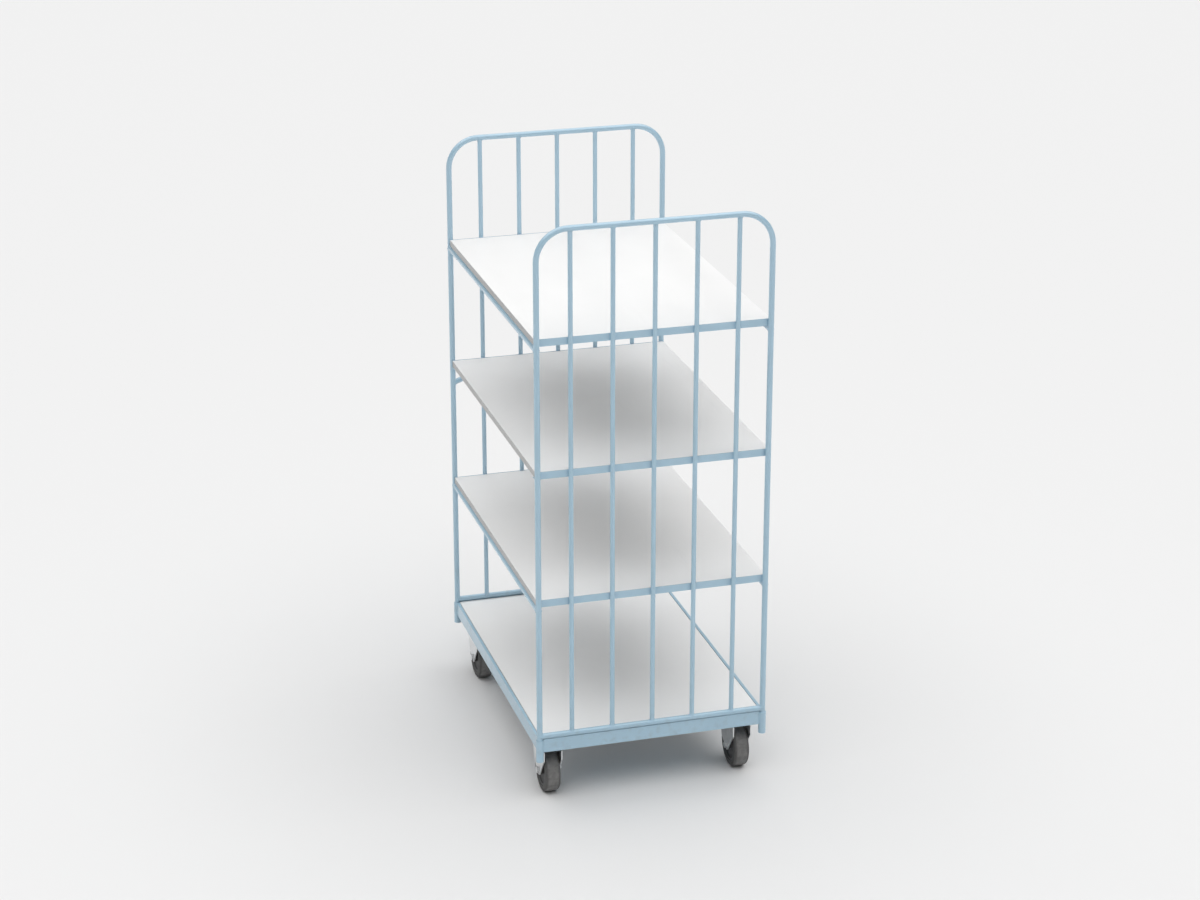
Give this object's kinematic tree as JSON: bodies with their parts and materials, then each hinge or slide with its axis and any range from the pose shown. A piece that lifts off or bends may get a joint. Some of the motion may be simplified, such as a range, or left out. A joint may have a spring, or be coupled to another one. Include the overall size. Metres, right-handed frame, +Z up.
{
  "type": "book cart",
  "caption": "Tall open book cart on swivel casters: two barred tube end panels carry white shelf boards above a framed deck, with a push handle at one end.",
  "frame": {"origin": "on the floor, under the middle of the cart's overall box with the push handle included", "axes": "+X across the cart to the right seen from the front panel, +Y from the front panel to the rear panel and its push handle, +Z up"},
  "size_m": [0.6722, 1.0616, 1.663],
  "materials": {
    "blue_paint": "light blue powder coat, semi-gloss",
    "white_board": "white melamine laminate on particle board, satin",
    "zinc_plate": "bright zinc plate",
    "tyre_rubber": "dark grey rubber, matt",
    "wheel_core": "dark grey moulded polyamide"
  },
  "bodies": {
    "base": {"base_rail_front": "blue_paint", "base_rail_left": "blue_paint", "base_rail_rear": "blue_paint", "base_rail_right": "blue_paint", "caster_beam_front": "blue_paint", "caster_beam_rear": "blue_paint", "caster_bolts": "zinc_plate", "caster_plate_front_left": "zinc_plate", "caster_plate_front_right": "zinc_plate", "caster_plate_rear_left": "zinc_plate", "caster_plate_rear_right": "zinc_plate", "deck_board": "white_board", "deck_ledges": "blue_paint", "kingpins": "zinc_plate", "socket_front_left": "blue_paint", "socket_front_right": "blue_paint", "socket_rear_left": "blue_paint", "socket_rear_right": "blue_paint", "swivel_balls": "zinc_plate"},
    "rack": {"bars_front": "blue_paint", "bars_rear": "blue_paint", "foot_tube_front": "blue_paint", "foot_tube_rear": "blue_paint", "hoop_front": "blue_paint", "hoop_rear": "blue_paint", "push_handle": "blue_paint", "shelf_board_lower": "white_board", "shelf_board_top": "white_board", "shelf_rail_lower_front": "blue_paint", "shelf_rail_lower_rear": "blue_paint", "shelf_rail_middle_front": "blue_paint", "shelf_rail_middle_rear": "blue_paint", "shelf_rail_top_front": "blue_paint", "shelf_rail_top_rear": "blue_paint", "shelf_screws": "zinc_plate", "side_tube_lower_left": "blue_paint", "side_tube_lower_right": "blue_paint", "side_tube_top_left": "blue_paint", "side_tube_top_right": "blue_paint"},
    "middle_shelf": {"shelf_board_middle": "white_board"},
    "swivel_front_left": {"fork_front_left": "zinc_plate", "axle_bolt_front_left": "zinc_plate", "axle_sleeve_front_left": "zinc_plate"},
    "wheel_front_left": {"tyre_front_left": "tyre_rubber", "wheel_core_front_left": "wheel_core"},
    "swivel_front_right": {"fork_front_right": "zinc_plate", "axle_bolt_front_right": "zinc_plate", "axle_sleeve_front_right": "zinc_plate"},
    "wheel_front_right": {"tyre_front_right": "tyre_rubber", "wheel_core_front_right": "wheel_core"},
    "swivel_rear_left": {"fork_rear_left": "zinc_plate", "axle_bolt_rear_left": "zinc_plate", "axle_sleeve_rear_left": "zinc_plate"},
    "wheel_rear_left": {"tyre_rear_left": "tyre_rubber", "wheel_core_rear_left": "wheel_core"},
    "swivel_rear_right": {"fork_rear_right": "zinc_plate", "axle_bolt_rear_right": "zinc_plate", "axle_sleeve_rear_right": "zinc_plate"},
    "wheel_rear_right": {"tyre_rear_right": "tyre_rubber", "wheel_core_rear_right": "wheel_core"}
  },
  "joints": [
    {"name": "rack_lift", "type": "slide", "parent": "base", "child": "rack", "axis": [0, 0, 1], "range_m": [0, 0.07]},
    {"name": "middle_shelf_slide", "type": "slide", "parent": "rack", "child": "middle_shelf", "axis": [1, 0, 0], "range_m": [-0.25, 0.25]},
    {"name": "swivel_front_left", "type": "hinge", "parent": "base", "child": "swivel_front_left", "pos_m": [-0.283, -0.41818, 0.14], "axis": [0, 0, 1], "continuous": true},
    {"name": "roll_front_left", "type": "hinge", "parent": "swivel_front_left", "child": "wheel_front_left", "pos_m": [-0.283, -0.44617, 0.0625], "axis": [1, 0, 0], "continuous": true},
    {"name": "swivel_front_right", "type": "hinge", "parent": "base", "child": "swivel_front_right", "pos_m": [0.273, -0.41818, 0.14], "axis": [0, 0, 1], "continuous": true},
    {"name": "roll_front_right", "type": "hinge", "parent": "swivel_front_right", "child": "wheel_front_right", "pos_m": [0.273, -0.44617, 0.0625], "axis": [1, 0, 0], "continuous": true},
    {"name": "swivel_rear_left", "type": "hinge", "parent": "base", "child": "swivel_rear_left", "pos_m": [-0.283, 0.35583, 0.14], "axis": [0, 0, 1], "continuous": true},
    {"name": "roll_rear_left", "type": "hinge", "parent": "swivel_rear_left", "child": "wheel_rear_left", "pos_m": [-0.283, 0.32782, 0.0625], "axis": [1, 0, 0], "continuous": true},
    {"name": "swivel_rear_right", "type": "hinge", "parent": "base", "child": "swivel_rear_right", "pos_m": [0.273, 0.35583, 0.14], "axis": [0, 0, 1], "continuous": true},
    {"name": "roll_rear_right", "type": "hinge", "parent": "swivel_rear_right", "child": "wheel_rear_right", "pos_m": [0.273, 0.32782, 0.0625], "axis": [1, 0, 0], "continuous": true}
  ]
}
